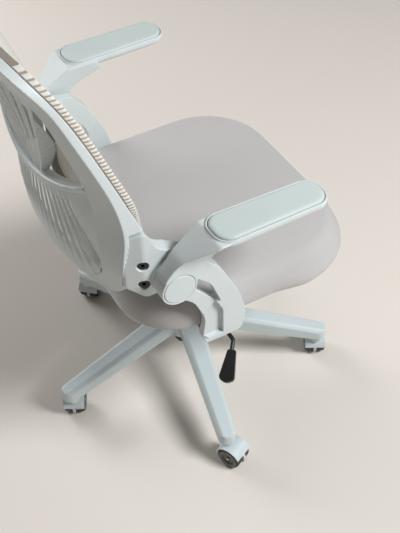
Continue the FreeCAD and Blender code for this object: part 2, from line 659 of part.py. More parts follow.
def make_side_bracket():
    hook = prism_x(HOOK, BRACKET_OUTER_X, BRACKET_INNER_X)
    recess = prism_x(WEB_RECESS, BRACKET_OUTER_X - 1, BRACKET_OUTER_X + 9)
    arm_room = prism_x(NECK_CLEARANCE, -300, KNUCKLE_OUTER_X + 0.2)
    boss_room = arm_rod(-300.0, ARM_BOSS_INNER_X + 1.0, ARM_BOSS_RADIUS + 2.0)
    hook = cut_all(hook, [recess, arm_room, boss_room])
    upper_band = prism_x(KNUCKLE_SIDE, -260, -240).common(prism_x(HOOK, -300, -200))
    upper_band = upper_band.cut(arm_room)
    upper_band = upper_band.cut(boss_room)
    knuckle = prism_x(KNUCKLE_SIDE, -260, -200).common(prism_z(KNUCKLE_PLAN, 400, 700))
    spacer = arm_rod(ARM_BOSS_INNER_X + 1.0, -240.0, ARM_BOSS_RADIUS)
    foot = prism_z(FOOT_PLAN, FOOT_BOTTOM, PAN_BOTTOM)
    bracket = fuse_all([hook, upper_band, knuckle, spacer, foot])
    cuts = [prism_x(CRESCENT, -300, -200)]
    cuts.append(arm_rod(-300.0, -200.0, ARM_PIN_RADIUS + RUNNING_CLEARANCE))
    for centre in KNUCKLE_BOLTS:
        cuts.append(rod(centre - BOLT_AXIS * 20, centre + BOLT_AXIS * 12, 10.0))
        cuts.append(rod(centre, centre + BOLT_AXIS * 60, KNUCKLE_BOLT_HOLE))
    for x, y in bracket_bolt_places():
        cuts.append(Part.makeCylinder(3.05, 30, V(x, y, FOOT_BOTTOM - 10)))
    return cut_all(bracket, cuts)


def make_knuckle_bolts():
    bolts = []
    for centre in KNUCKLE_BOLTS:
        head = rod(centre + BOLT_AXIS * 5, centre + BOLT_AXIS * 12, 8.0)
        socket = rod(centre + BOLT_AXIS * 4, centre + BOLT_AXIS * 9, 3.5)
        shank = rod(centre + BOLT_AXIS * 12, centre + BOLT_AXIS * 47, 4.0)
        bolts.append(fuse_all([head.cut(socket), shank]))
    return Part.makeCompound(bolts + [mirrored(bolt) for bolt in bolts])


def make_bracket_bolts():
    return Part.makeCompound([bolt_up(x, y, FOOT_BOTTOM - 4.5, 4.5, 16.5) for x, y in bracket_bolt_places()])


# Armrest: one moulding from the pivot boss up a flared neck to a tray, with a soft pad let into it

ARM_NECK = ((40, 640, 0), (97, 644, 10), (150, 608, 60), (184, 570, 12), (154, 540, 6), (121, 552, 4),
            (101, 586, 30), (80, 604, 30), (30, 622, 0))
ARM_FRONT_VIEW = ((PAD_OUTER_X, 660, 0), (PAD_OUTER_X, 640, 10), (ARM_BOSS_OUTER_X, 604, 40),
                  (ARM_BOSS_OUTER_X, 500, 0), (ARM_BOSS_INNER_X, 500, 0), (ARM_BOSS_INNER_X, 596, 40),
                  (PAD_INNER_X, 640, 20), (PAD_INNER_X, 660, 0))


def pad_ring(inset, z):
    corner = 30.0 - 0.8 * inset
    front = PAD_FRONT_Y + inset
    rear = PAD_REAR_Y - inset
    plan = ((PAD_OUTER_X + inset + 3, front, corner), (PAD_INNER_X - inset - 5, front, corner),
            (PAD_INNER_X - inset, rear, corner), (PAD_OUTER_X + inset, rear, corner))
    return rounded_face(plan, lambda p: V(p.x, p.y, z)).OuterWire


def make_arm_body():
    rim = Part.makeLoft([pad_ring(1.5, 634.0), pad_ring(0.0, 640.0), pad_ring(0.5, 647.0)], True, True)
    belly = Part.makeLoft([pad_ring(20.0, 620.0), pad_ring(2.0, 635.0)], True, True)
    neck = prism_x(ARM_NECK, PAD_OUTER_X, PAD_INNER_X).common(prism_y(ARM_FRONT_VIEW, -200, 300))
    boss = arm_rod(ARM_BOSS_OUTER_X, ARM_BOSS_INNER_X, ARM_BOSS_RADIUS)
    body = fuse_all([rim, belly, neck, boss])
    pocket = Part.makeLoft([pad_ring(3.2, 641.0), pad_ring(3.2, 660.0)], True, True)
    cap_seat = arm_rod(-300.0, ARM_BOSS_OUTER_X + CAP_DEPTH, CAP_RADIUS + 0.7)
    bore = arm_rod(-300.0, -200.0, ARM_PIN_RADIUS + RUNNING_CLEARANCE)
    return cut_all(body, [pocket, cap_seat, bore])


def make_arm_pad():
    rings = [pad_ring(4.2, 641.0), pad_ring(4.2, 647.0), pad_ring(5.5, 649.5), pad_ring(10.0, PAD_TOP)]
    return Part.makeLoft(rings, True, True)


def make_pivot_cap():
    outside = arm_rod(ARM_BOSS_OUTER_X - 0.6, ARM_BOSS_OUTER_X + CAP_DEPTH, CAP_RADIUS)
    return outside.cut(arm_rod(ARM_BOSS_OUTER_X + 2.0, ARM_BOSS_OUTER_X + CAP_DEPTH, CAP_RADIUS - 2.0))


def make_pivot_pin():
    head_end = ARM_BOSS_OUTER_X + CAP_DEPTH - 0.3
    shaft = arm_rod(head_end, KNUCKLE_INNER_X, ARM_PIN_RADIUS)
    head = arm_rod(ARM_BOSS_OUTER_X + 4.0, head_end, 14.0)
    return fuse_all([shaft, head])


# Backrest: frame with side bands, fan-slotted lower shell, upper fan panel, and a mesh on its own carrier

def level_face(levels, shift):
    """Curved face across the back: a horizontal arc at each height, lofted upward."""
    wires = []
    reach = (SHEET_HALF / EDGE_HALF) ** 2 - 1
    for z, y, bulge in levels:
        end_y = y - bulge * reach + shift
        arc = Part.Arc(V(-SHEET_HALF, end_y, z), V(0, y + bulge + shift, z), V(SHEET_HALF, end_y, z))
        wires.append(Part.Wire(arc.toShape()))
    return Part.makeLoft(wires, False, False).Faces[0]


def slab(levels, shift, thickness):
    return level_face(levels, shift).extrude(V(0, thickness, 0))


FRAME_OUTLINE = both_sides(((-222, BACK_BOTTOM, 60), (-239, 650, 300), (-212, BACK_TOP, 74)))
FRAME_WINDOW = both_sides(((-186, 512, 60), (-187, 660, 200), (-184, 890, 80), (-128, 934, 50)))
FRAME_CORE = both_sides(((-212, BACK_BOTTOM + 8, 54), (-229.5, 650, 300), (-203, BACK_TOP - 9, 66)))
CARRIER_OUTLINE = both_sides(((-178, 504, 50), (-203, 640, 60), (-231, 702, 90), (-207, BACK_TOP - 6, 70)))
CARRIER_OPENING = both_sides(((-164, 518, 40), (-189, 642, 56), (-217, 704, 80), (-194, BACK_TOP - 20, 58)))
CARRIER_POSTS = ((-218.0, 725.0), (-212.0, 800.0), (-205.0, 880.0))
CARRIER_POST_RADIUS = 4.0
LOWER_LAP = both_sides(((-195, 503, 64), (-197, 660, 200), (-194, 760, 0)))
LOWER_RIM = both_sides(((-181, 517, 55), (-182, 660, 200), (-179, 760, 0)))
UPPER_PANEL = both_sides(((-46, 640, 0), (-68, 730, 150), (-168, 900, 10), (-190, 946, 20)))
BAR_RADIUS = 320.0
BAR_MIDDLE_Z = 667.0
BAR_HEIGHT = 14.0
BAR_DEPTH = 26.0
BAR_PROUD = 2.0
LOWER_FAN_COUNT = 17
LOWER_FAN_POLE = 860.0
LOWER_FAN_SPREAD = 30.5
UPPER_FAN_COUNT = 11
UPPER_FAN_POLE = 560.0
UPPER_FAN_SPREAD = 20.0
FAN_SLOT_WIDTH = 7.0
SHELL_FRONT = -FRAME_SKIN - 2.5
SHELL_THICKNESS = 6.5
FLANGE_THICKNESS = 2.45
SHELL_SETBACK = SHELL_FRONT + SHELL_THICKNESS
FLUTE_RADIUS = 10.0
FLUTE_DEPTH = 2.2
FLUTE_LEAN = 0.00235


def bar_disc(extra):
    """Upright disc whose lower edge is the smiling bar between the shells."""
    centre_z = BAR_MIDDLE_Z + BAR_RADIUS - extra
    return rod(V(0, 100, centre_z), V(0, 500, centre_z), BAR_RADIUS)


def make_back_frame():
    skin = slab(REAR_LEVELS, -FRAME_SKIN, FRAME_SKIN)
    band = skin.common(prism_y(FRAME_OUTLINE, 100, 500).cut(prism_y(FRAME_WINDOW, 90, 510)))
    depth = slab(FRONT_LEVELS, 0.0, 200.0).cut(slab(REAR_LEVELS, -1.0, 250.0))
    wall = prism_y(FRAME_OUTLINE, 100, 500).cut(prism_y(FRAME_CORE, 90, 510))
    wall = depth.common(wall).common(box(-300, 300, 0, 600, 655, 1100))
    room = prism_x(KNUCKLE_SIDE, -270, -200, KNUCKLE_SEAM)
    room = room.common(prism_z(KNUCKLE_PLAN, 400, 700, KNUCKLE_SEAM))
    hollow = cut_all(fuse_all([band, wall]), [room, mirrored(room)])
    lug = box(KNUCKLE_INNER_X, KNUCKLE_INNER_X + 15, 168, 250, 526, 634)
    lug = cut_all(lug, [slab(REAR_LEVELS, -2.0, 200.0), slab(FRONT_LEVELS, -120.0, 121.0)])
    bores = [rod(centre, centre + BOLT_AXIS * 60, KNUCKLE_BOLT_HOLE) for centre in KNUCKLE_BOLTS]
    frame = fuse_all([hollow, lug, mirrored(lug)])
    return cut_all(frame, bores + [mirrored(bore) for bore in bores])


def lower_inner_reach(share):
    return 208.0 - 4.0 * share * share


def lower_outer_reach(share):
    return 246.0 + 106.0 * abs(share)


def fan_slots(count, pole, rise, inner_reach, outer_reach, spread):
    """Slots that fan up or down from one pole height: each a tapered slit with a round far end."""
    slots = []
    for i in range(count):
        share = -1.0 + 2.0 * i / (count - 1)
        angle = math.radians(share * spread)
        along = V(math.sin(angle), 0, rise * math.cos(angle))
        across = V(along.z, 0, -along.x)
        near = V(0, 100, pole) + along * inner_reach(share)
        far = V(0, 100, pole) + along * outer_reach(share)
        tip = FAN_SLOT_WIDTH / 2
        near_half = FAN_SLOT_WIDTH / 5
        points = [near - across * near_half, near + across * near_half, far + across * tip]
        edges = [Part.LineSegment(points[0], points[1]).toShape(),
                 Part.LineSegment(points[1], points[2]).toShape(),
                 Part.Arc(points[2], far + along * tip, far - across * tip).toShape(),
                 Part.LineSegment(far - across * tip, points[0]).toShape()]
        slots.append(Part.Face(Part.Wire(edges)).extrude(V(0, 400, 0)))
    return slots


def lower_flutes():
    """Shallow flutes in the lower lobe, one along each slot, running out toward the bottom lip."""
    surface = level_face(LOBE_LEVELS, SHELL_SETBACK)
    flutes = []
    for i in range(LOWER_FAN_COUNT):
        share = -1.0 + 2.0 * i / (LOWER_FAN_COUNT - 1)
        angle = math.radians(share * LOWER_FAN_SPREAD)
        along = V(math.sin(angle), 0, -math.cos(angle))
        ends = []
        start = (lower_inner_reach(share) - 2.0, -FLUTE_DEPTH)
        end = (lower_outer_reach(share) + 24.0, 0.4)
        for reach, lift in (start, end):
            place = V(0, 0, LOWER_FAN_POLE) + along * reach
            sight = Part.makeLine(place, place + V(0, 600, 0))
            foot = surface.distToShape(sight)[1][0][0]
            outward = V(foot.x * FLUTE_LEAN, 1, 0)
            outward.normalize()
            ends.append(foot + outward * (FLUTE_RADIUS + lift))
        flutes.append(rod(ends[0], ends[1], FLUTE_RADIUS))
    return flutes


def make_lower_shell():
    """Slotted lobe below the bar, lapped behind the frame, with the bar as its upper edge."""
    lobe = prism_y(FRAME_WINDOW, 100, 500).cut(bar_disc(0.0))
    lap = prism_y(LOWER_LAP, 100, 500).cut(prism_y(LOWER_RIM, 90, 510)).cut(bar_disc(0.0))
    body = slab(LOBE_LEVELS, SHELL_FRONT, SHELL_THICKNESS).common(lobe)
    flange = slab(REAR_LEVELS, SHELL_FRONT, FLANGE_THICKNESS).common(lap)
    bar = bar_disc(0.0).cut(bar_disc(-BAR_HEIGHT)).common(prism_y(FRAME_WINDOW, 90, 510))
    bar = bar.common(box(-300, 300, 0, 600, 600, 760))
    bar = slab(REAR_LEVELS, BAR_PROUD - BAR_DEPTH, BAR_DEPTH).common(bar)
    shell = fuse_all([body, flange, bar])
    slots = fan_slots(LOWER_FAN_COUNT, LOWER_FAN_POLE, -1.0, lower_inner_reach, lower_outer_reach,
                      LOWER_FAN_SPREAD)
    for flute in lower_flutes():
        shell = shell.cut(flute)
    return cut_all(shell, slots)


def make_upper_shell():
    """Fan panel between the bar and the top of the frame, leaving a leaf opening on each side."""
    solid = prism_y(UPPER_PANEL, 100, 500).common(bar_disc(-BAR_HEIGHT - 0.4))
    inside = solid.common(prism_y(FRAME_WINDOW, 90, 510))
    body = slab(REAR_LEVELS, SHELL_FRONT, SHELL_THICKNESS).common(inside)
    flange = slab(REAR_LEVELS, SHELL_FRONT, FLANGE_THICKNESS).common(solid)
    shell = fuse_all([body, flange])
    slots = fan_slots(UPPER_FAN_COUNT, UPPER_FAN_POLE, 1.0, lambda s: 150.0 + 12.0 * s * s,
                      lambda s: 310.0 - 26.0 * s * s, UPPER_FAN_SPREAD)
    return cut_all(shell, slots)


def make_mesh_carrier():
    """Ring that stretches the mesh, with posts that seat on the inner face of the frame's side bands."""
    outline = prism_y(CARRIER_OUTLINE, 100, 500).cut(prism_y(CARRIER_OPENING, 90, 510))
    ring = slab(FRONT_LEVELS, -CARRIER_DEPTH, CARRIER_DEPTH - 0.4).common(outline)
    behind = slab(REAR_LEVELS, -FRAME_SKIN - 0.03, 200.0)
    ahead = slab(FRONT_LEVELS, -200.0, 200.0 - CARRIER_DEPTH / 2)
    posts = []
    for x, z in CARRIER_POSTS:
        post = cut_all(rod(V(x, 160, z), V(x, 360, z), CARRIER_POST_RADIUS), [behind, ahead])
        posts.extend([post, mirrored(post)])
    return fuse_all([ring] + posts)


def make_back_mesh():
    sheet = slab(FRONT_LEVELS, -CARRIER_DEPTH - MESH_THICKNESS - 0.05, MESH_THICKNESS)
    return sheet.common(prism_y(CARRIER_OUTLINE, 100, 500))


os.makedirs("parts", exist_ok=True)
save("star_base", make_star_base())
for number in range(LEG_COUNT):
    for piece_name, castor_piece in make_castor(number).items():
        save("castor_%d_%s" % (number + 1, piece_name), castor_piece)
save("column_outer_tube", make_outer_tube())
save("column_guide_bush", make_guide_bush())
save("column_thrust_bearing", make_thrust_bearing())
save("column_piston_rod", make_piston_rod())
save("column_retaining_clip", make_retaining_clip())
save("column_gas_cylinder", make_gas_cylinder())
save("column_valve_button", make_valve_button())
save("mech_housing", make_mech_housing())
save("tilt_axle", make_tilt_axle())
save("seat_plate", make_seat_plate())
save("plate_bolts", make_plate_bolts())
save("tension_stud", make_tension_stud())
save("tension_knob", make_tension_knob())
save("spring_cup", make_spring_cup())
save("tension_spring", make_tension_spring())
save("lever_bush", make_lever_bush())
save("lever_pin", make_lever_pin())
save("lever_rod", make_lever_rod())
save("lever_paddle", make_lever_paddle())
save("seat_pan", make_seat_pan())
save("seat_cushion", make_seat_cushion())
save("knuckle_bolts", make_knuckle_bolts())
save("bracket_bolts", make_bracket_bolts())
SIDED = {"side_bracket": make_side_bracket(), "arm_body": make_arm_body(), "arm_pad": make_arm_pad(),
         "arm_pivot_cap": make_pivot_cap(), "arm_pivot_pin": make_pivot_pin()}
for piece_name, right_piece in SIDED.items():
    save(piece_name + "_right", right_piece)
    save(piece_name + "_left", mirrored(right_piece))
save("back_frame", make_back_frame())
save("lower_shell", make_lower_shell())
save("upper_shell", make_upper_shell())
save("mesh_carrier", make_mesh_carrier())
save("back_mesh", make_back_mesh())
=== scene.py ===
import json
import math

import bmesh
import bpy
from mathutils import Matrix, Vector
from mathutils.bvhtree import BVHTree


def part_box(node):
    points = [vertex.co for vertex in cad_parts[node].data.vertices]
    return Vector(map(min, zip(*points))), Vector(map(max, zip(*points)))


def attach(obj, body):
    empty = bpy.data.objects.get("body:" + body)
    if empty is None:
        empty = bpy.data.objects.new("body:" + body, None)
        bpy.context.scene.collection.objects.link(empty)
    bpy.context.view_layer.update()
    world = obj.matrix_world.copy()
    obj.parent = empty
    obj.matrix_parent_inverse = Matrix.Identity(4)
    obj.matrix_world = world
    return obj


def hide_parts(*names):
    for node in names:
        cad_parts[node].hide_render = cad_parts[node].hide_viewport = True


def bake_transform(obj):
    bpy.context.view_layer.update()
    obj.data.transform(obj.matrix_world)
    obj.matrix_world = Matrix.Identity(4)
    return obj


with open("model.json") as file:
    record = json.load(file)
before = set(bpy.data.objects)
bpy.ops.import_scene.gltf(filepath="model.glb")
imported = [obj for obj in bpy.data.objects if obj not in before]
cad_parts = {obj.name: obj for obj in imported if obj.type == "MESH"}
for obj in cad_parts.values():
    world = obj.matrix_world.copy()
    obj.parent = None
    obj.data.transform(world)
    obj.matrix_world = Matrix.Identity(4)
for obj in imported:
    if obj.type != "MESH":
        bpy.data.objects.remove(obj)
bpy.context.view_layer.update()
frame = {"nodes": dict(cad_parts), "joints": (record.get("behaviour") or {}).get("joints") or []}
nodes = frame["nodes"]
scene = bpy.context.scene

# The studio: a pale seamless floor, a broad window light high on the chair's front right,
# a cool glow from its rear left and a weak warm fill. The camera stands behind the chair's right shoulder.
FLOOR_COLOUR = (0.80, 0.75, 0.69, 1.0)
FLOOR_HALF = 6.0
SKY_COLOUR = (1.0, 0.94, 0.88, 1.0)
SKY_STRENGTH = 0.12
CAMERA_PLACE = Vector((-1.2874, 0.6634, 1.7285))
CAMERA_TARGET = Vector((-0.0870, 0.0069, 0.3527))
CAMERA_ROLL = math.radians(-1.4)
CAMERA_FOCUS_PIXELS = 1001.6
IMAGE_HEIGHT = 533.0
SENSOR = 36.0


def new_piece(name, mesh):
    """Object for a mesh, placed in the scene."""
    piece = bpy.data.objects.new(name, mesh)
    scene.collection.objects.link(piece)
    return piece


def node_material(name):
    """New material with its node tree and its shader, ready for procedural detail."""
    material = bpy.data.materials.new(name)
    material.use_nodes = True
    tree = material.node_tree
    return material, tree, tree.nodes["Principled BSDF"]


def grain(tree, scale, detail=3.0, roughness=0.55):
    """Noise in the piece's own coordinates, in metres."""
    place = tree.nodes.new("ShaderNodeTexCoord")
    noise = tree.nodes.new("ShaderNodeTexNoise")
    noise.inputs["Scale"].default_value = scale
    noise.inputs["Detail"].default_value = detail
    noise.inputs["Roughness"].default_value = roughness
    tree.links.new(place.outputs["Object"], noise.inputs["Vector"])
    return noise


def ramp(tree, source, low, high, start=0.3, end=0.7):
    """Two colours mixed by a texture."""
    node = tree.nodes.new("ShaderNodeValToRGB")
    node.color_ramp.elements[0].position = start
    node.color_ramp.elements[0].color = low
    node.color_ramp.elements[1].position = end
    node.color_ramp.elements[1].color = high
    tree.links.new(source, node.inputs["Fac"])
    return node


def shade(colour, factor):
    """The colour made darker or lighter."""
    return (colour[0] * factor, colour[1] * factor, colour[2] * factor, 1.0)


floor_mesh = bpy.data.meshes.new("studio_floor")
floor_mesh.from_pydata([(-FLOOR_HALF, -FLOOR_HALF, 0), (FLOOR_HALF, -FLOOR_HALF, 0),
                        (FLOOR_HALF, FLOOR_HALF, 0), (-FLOOR_HALF, FLOOR_HALF, 0)], [], [(0, 1, 2, 3)])
floor = new_piece("studio_floor", floor_mesh)
floor_paint, floor_tree, floor_shader = node_material("pale_floor")
floor_mottle = grain(floor_tree, scale=1.2, detail=2.0)
floor_tint = ramp(floor_tree, floor_mottle.outputs["Fac"], shade(FLOOR_COLOUR, 0.985), FLOOR_COLOUR)
floor_tree.links.new(floor_tint.outputs["Color"], floor_shader.inputs["Base Color"])
floor_shader.inputs["Roughness"].default_value = 0.8
floor_mesh.materials.append(floor_paint)

sky = bpy.data.worlds.new("soft_sky")
sky.use_nodes = True
sky.node_tree.nodes["Background"].inputs["Color"].default_value = SKY_COLOUR
sky.node_tree.nodes["Background"].inputs["Strength"].default_value = SKY_STRENGTH
scene.world = sky


def area_light(name, place, target, size, power, colour):
    """Round soft light that faces a target."""
    lamp = bpy.data.lights.new(name, "AREA")
    lamp.shape = "DISK"
    lamp.size = size
    lamp.energy = power
    lamp.color = colour
    stand = bpy.data.objects.new(name, lamp)
    stand.location = place
    stand.rotation_euler = (Vector(target) - Vector(place)).to_track_quat("-Z", "Y").to_euler()
    scene.collection.objects.link(stand)


area_light("window", place=(-2.1, -1.5, 2.9), target=(0, 0, 0.45),
           size=1.3, power=127.0, colour=(0.98, 0.99, 1.0))
area_light("rear_glow", place=(2.6, 1.1, 1.5), target=(0, 0.25, 0.62),
           size=1.8, power=46.0, colour=(0.97, 0.98, 1.0))
area_light("room_fill", place=(2.6, 0.4, 2.0), target=(0, 0, 0.5),
           size=2.6, power=6.0, colour=(1.0, 0.93, 0.86))

forward = (CAMERA_TARGET - CAMERA_PLACE).normalized()
level_right = forward.cross(Vector((0, 0, 1))).normalized()
level_up = level_right.cross(forward)
right = level_right * math.cos(CAMERA_ROLL) + level_up * math.sin(CAMERA_ROLL)
up = level_up * math.cos(CAMERA_ROLL) - level_right * math.sin(CAMERA_ROLL)
camera_data = bpy.data.cameras.new("photo_camera")
camera_data.sensor_width = SENSOR
camera_data.lens = CAMERA_FOCUS_PIXELS * SENSOR / IMAGE_HEIGHT
camera = bpy.data.objects.new("photo_camera", camera_data)
camera.matrix_world = Matrix((
    (right.x, up.x, -forward.x, CAMERA_PLACE.x),
    (right.y, up.y, -forward.y, CAMERA_PLACE.y),
    (right.z, up.z, -forward.z, CAMERA_PLACE.z),
    (0, 0, 0, 1)))
scene.collection.objects.link(camera)
scene.camera = camera
scene.view_settings.view_transform = "Standard"

# The star base: one glass-filled nylon moulding with five tapering legs, open and ribbed underneath.
# Its mould edges are eased and its skin has a fine spark-eroded texture.
BASE_COLOUR = (0.62, 0.70, 0.715, 1.0)


def bump(tree, shader, height, strength, distance):
    """Fine relief in the shading only."""
    node = tree.nodes.new("ShaderNodeBump")
    node.inputs["Strength"].default_value = strength
    node.inputs["Distance"].default_value = distance
    tree.links.new(height, node.inputs["Height"])
    tree.links.new(node.outputs["Normal"], shader.inputs["Normal"])


def moulded_plastic(name, colour, roughness, grain_size=0.0006, depth=0.00004):
    """Satin mould skin: faint drift of colour, uneven gloss and a fine pebbled bump."""
    material, tree, shader = node_material(name)
    drift = grain(tree, scale=9.0, detail=2.0)
    tint = ramp(tree, drift.outputs["Fac"], shade(colour, 0.965), colour)
    tree.links.new(tint.outputs["Color"], shader.inputs["Base Color"])
    gloss = grain(tree, scale=60.0, detail=3.0)
    gloss_range = tree.nodes.new("ShaderNodeMapRange")
    gloss_range.inputs["To Min"].default_value = roughness - 0.05
    gloss_range.inputs["To Max"].default_value = roughness + 0.06
    tree.links.new(gloss.outputs["Fac"], gloss_range.inputs["Value"])
    tree.links.new(gloss_range.outputs["Result"], shader.inputs["Roughness"])
    pebble = grain(tree, scale=1.0 / grain_size, detail=2.0)
    bump(tree, shader, pebble.outputs["Fac"], strength=0.35, distance=depth)
    shader.inputs["Specular IOR Level"].default_value = 0.42
    return material


def applied(piece):
    """Freezes the piece's modifiers into its mesh."""
    graph = bpy.context.evaluated_depsgraph_get()
    mesh = bpy.data.meshes.new_from_object(piece.evaluated_get(graph))
    piece.modifiers.clear()
    piece.data = mesh
    return mesh


def shaded_smooth(mesh):
    """Shades all faces of the mesh as one curved skin."""
    mesh.polygons.foreach_set("use_smooth", [True] * len(mesh.polygons))


def smoothing(piece, name, passes):
    """Evens out the piece's surface by a number of passes."""
    ease = piece.modifiers.new(name, "SMOOTH")
    ease.factor = 0.5
    ease.iterations = passes


def eased_copy(node, name, voxel, passes, keep=0.5):
    """Copy of a CAD piece with the rounded edges and fillets of a real moulding."""
    piece = new_piece(name, nodes[node].data.copy())
    remesh = piece.modifiers.new("skin", "REMESH")
    remesh.mode = "VOXEL"
    remesh.voxel_size = voxel
    remesh.adaptivity = 0.0
    smoothing(piece, "ease", passes)
    if keep < 1.0:
        thin = piece.modifiers.new("thin", "DECIMATE")
        thin.ratio = keep
    mesh = applied(piece)
    mesh.materials.clear()
    shaded_smooth(mesh)
    return piece


def coat(piece, material):
    """Gives the piece one finish."""
    piece.data.materials.clear()
    piece.data.materials.append(material)


def stands_for(piece, node, body, material):
    """The piece takes the node's place and body, with the given finish."""
    coat(piece, material)
    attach(piece, body)
    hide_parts(node)


base_nylon = moulded_plastic("base_nylon", BASE_COLOUR, roughness=0.42)
star_base = eased_copy("star_base", "star_base_moulding", voxel=0.0015, passes=7)
stands_for(star_base, "star_base", "base", base_nylon)

# The castors: a pale moulded hood over two grey wheels with a dark soft tread, on steel pins.
# The hood's stem pushes up into the socket at each leg's end.
TREAD_COLOUR = (0.052, 0.05, 0.048, 1.0)
WHEEL_COLOUR = (0.17, 0.165, 0.155, 1.0)
STEEL_COLOUR = (0.55, 0.55, 0.56, 1.0)
TREAD_START = 0.0205


def steel(name, colour, roughness):
    """Turned bright steel with faint tool marks."""
    material, tree, shader = node_material(name)
    marks = grain(tree, scale=300.0, detail=4.0)
    tint = ramp(tree, marks.outputs["Fac"], shade(colour, 0.85), colour)
    tree.links.new(tint.outputs["Color"], shader.inputs["Base Color"])
    shader.inputs["Metallic"].default_value = 1.0
    shader.inputs["Roughness"].default_value = roughness
    bump(tree, shader, marks.outputs["Fac"], strength=0.1, distance=0.00002)
    return material


castor_skin = moulded_plastic("castor_plastic", BASE_COLOUR, roughness=0.38)
wheel_skin = moulded_plastic("wheel_plastic", WHEEL_COLOUR, roughness=0.45)
tread_skin = moulded_plastic("wheel_tread", TREAD_COLOUR, roughness=0.6)
bright_steel = steel("bright_steel", STEEL_COLOUR, roughness=0.3)
castor_joints = {joint["child"]: joint for joint in frame["joints"] if "castor" in joint["name"]}
for number in range(1, 6):
    castor = "castor_%d" % number
    hood = eased_copy(castor + "_hood", castor + "_hood_moulding", voxel=0.0010, passes=3)
    stands_for(hood, castor + "_hood", castor, castor_skin)
    coat(nodes[castor + "_pins"], bright_steel)
    for side in ("left", "right"):
        wheel_node = castor + "_wheel_" + side
        wheel = eased_copy(wheel_node, wheel_node + "_tyred", voxel=0.0010, passes=2)
        stands_for(wheel, wheel_node, castor + "_" + side, wheel_skin)
        wheel.data.materials.append(tread_skin)
        joint = castor_joints[castor + "_" + side]
        axle_place = Vector(joint["pos_m"])
        axle = Vector(joint["axis"]).normalized()
        for face in wheel.data.polygons:
            arm = face.center - axle_place
            if (arm - axle * arm.dot(axle)).length > TREAD_START:
                face.material_index = 1

# The gas column: a powder-coated outer tube pressed in the hub, a plastic guide bush,
# and a plated inner cylinder that slides in it over a fixed piston rod.
COATED_BLACK = (0.022, 0.022, 0.024, 1.0)
PLATED_COLOUR = (0.72, 0.72, 0.74, 1.0)


def coated_metal(name, colour, roughness):
    """Powder coat: orange-peel bump and a slightly uneven colour."""
    material, tree, shader = node_material(name)
    peel = grain(tree, scale=900.0, detail=2.0)
    tint = ramp(tree, peel.outputs["Fac"], shade(colour, 0.8), shade(colour, 1.2))
    tree.links.new(tint.outputs["Color"], shader.inputs["Base Color"])
    shader.inputs["Roughness"].default_value = roughness
    bump(tree, shader, peel.outputs["Fac"], strength=0.4, distance=0.00006)
    return material


column_coat = coated_metal("column_coat", COATED_BLACK, roughness=0.42)
black_plastic = moulded_plastic("black_plastic", COATED_BLACK, roughness=0.45)
plated_steel = steel("plated_steel", PLATED_COLOUR, roughness=0.16)
coat(nodes["column_outer_tube"], column_coat)
coat(nodes["column_guide_bush"], black_plastic)
coat(nodes["column_gas_cylinder"], plated_steel)
for node in ("column_thrust_bearing", "column_piston_rod", "column_retaining_clip", "column_valve_button"):
    coat(nodes[node], bright_steel)

# The tilt mechanism: a pressed-steel channel on the column's taper, a seat plate hung on its axle,
# and a coil spring drawn up by a stud and a hand knob. On the chair the coil's foot goes with the seat
# as it tilts and its head stays in the channel; here the coil is a fixed copy that doesn't follow the seat.
MECHANISM_COLOUR = (0.03, 0.03, 0.032, 1.0)
SPRING_COLOUR = (0.22, 0.22, 0.23, 1.0)
BOLT_COLOUR = (0.012, 0.012, 0.013, 1.0)
mechanism_coat = coated_metal("mechanism_coat", MECHANISM_COLOUR, roughness=0.5)
spring_steel = steel("spring_steel", SPRING_COLOUR, roughness=0.4)
bolt_black = coated_metal("bolt_black", BOLT_COLOUR, roughness=0.38)
for node in ("mech_housing", "seat_plate"):
    coat(nodes[node], mechanism_coat)
for node in ("tilt_axle", "tension_stud", "spring_cup", "lever_pin"):
    coat(nodes[node], bright_steel)
spring_coil = new_piece("tension_spring_coil", nodes["tension_spring"].data.copy())
coat(spring_coil, spring_steel)
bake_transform(spring_coil)
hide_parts("tension_spring")
coat(nodes["plate_bolts"], bolt_black)
knob = eased_copy("tension_knob", "tension_knob_grip", voxel=0.0009, passes=3)
stands_for(knob, "tension_knob", "knob", black_plastic)

# The height lever: a bent black rod through a pivoting bush,
# with a flat moulded paddle on its end.
LEVER_COLOUR = (0.012, 0.012, 0.013, 1.0)
ROD_COLOUR = (0.014, 0.014, 0.015, 1.0)
lever_black = moulded_plastic("lever_black", LEVER_COLOUR, roughness=0.36)
coat(nodes["lever_bush"], black_plastic)
coat(nodes["lever_rod"], coated_metal("lever_coat", ROD_COLOUR, roughness=0.4))
paddle = eased_copy("lever_paddle", "lever_paddle_moulding", voxel=0.0007, passes=5)
stands_for(paddle, "lever_paddle", "lever", lever_black)

# The seat: moulded foam on a plastic pan, covered by one piece of plain woven cloth
# that is pulled round the sides and stapled underneath, so no seam shows.
# The lower rim is fuller than the foam above it, apart from where the side brackets pass.
PAN_COLOUR = (0.03, 0.03, 0.032, 1.0)
FABRIC_LIGHT = (0.560, 0.550, 0.545, 1.0)
FABRIC_DARK = (0.442, 0.428, 0.428, 1.0)
THREAD = 0.0013
WAVE_UNIT = 0.314
CUSHION_VOXEL = 0.0055
CUSHION_SWELL = 0.0006
CUSHION_HALF = 0.2515
CUSHION_EASE = 10
CUSHION_MIDDLE = -0.0285
CUSHION_CORNER = 0.125
STRAIGHT_HALVES = (0.125, 0.1085)
RIM_WIDTH = 0.06
RIM_DROP = 0.003
RIM_PUSH = 0.011
RIM_TOP = 0.430
RIM_TOP_FADE = 0.035
RIM_FRONT = -0.05
RIM_FRONT_FADE = 0.08
BRACKET_FOOT = 0.066
BRACKET_FOOT_HALF = 0.045
BRACKET_FOOT_FADE = 0.03


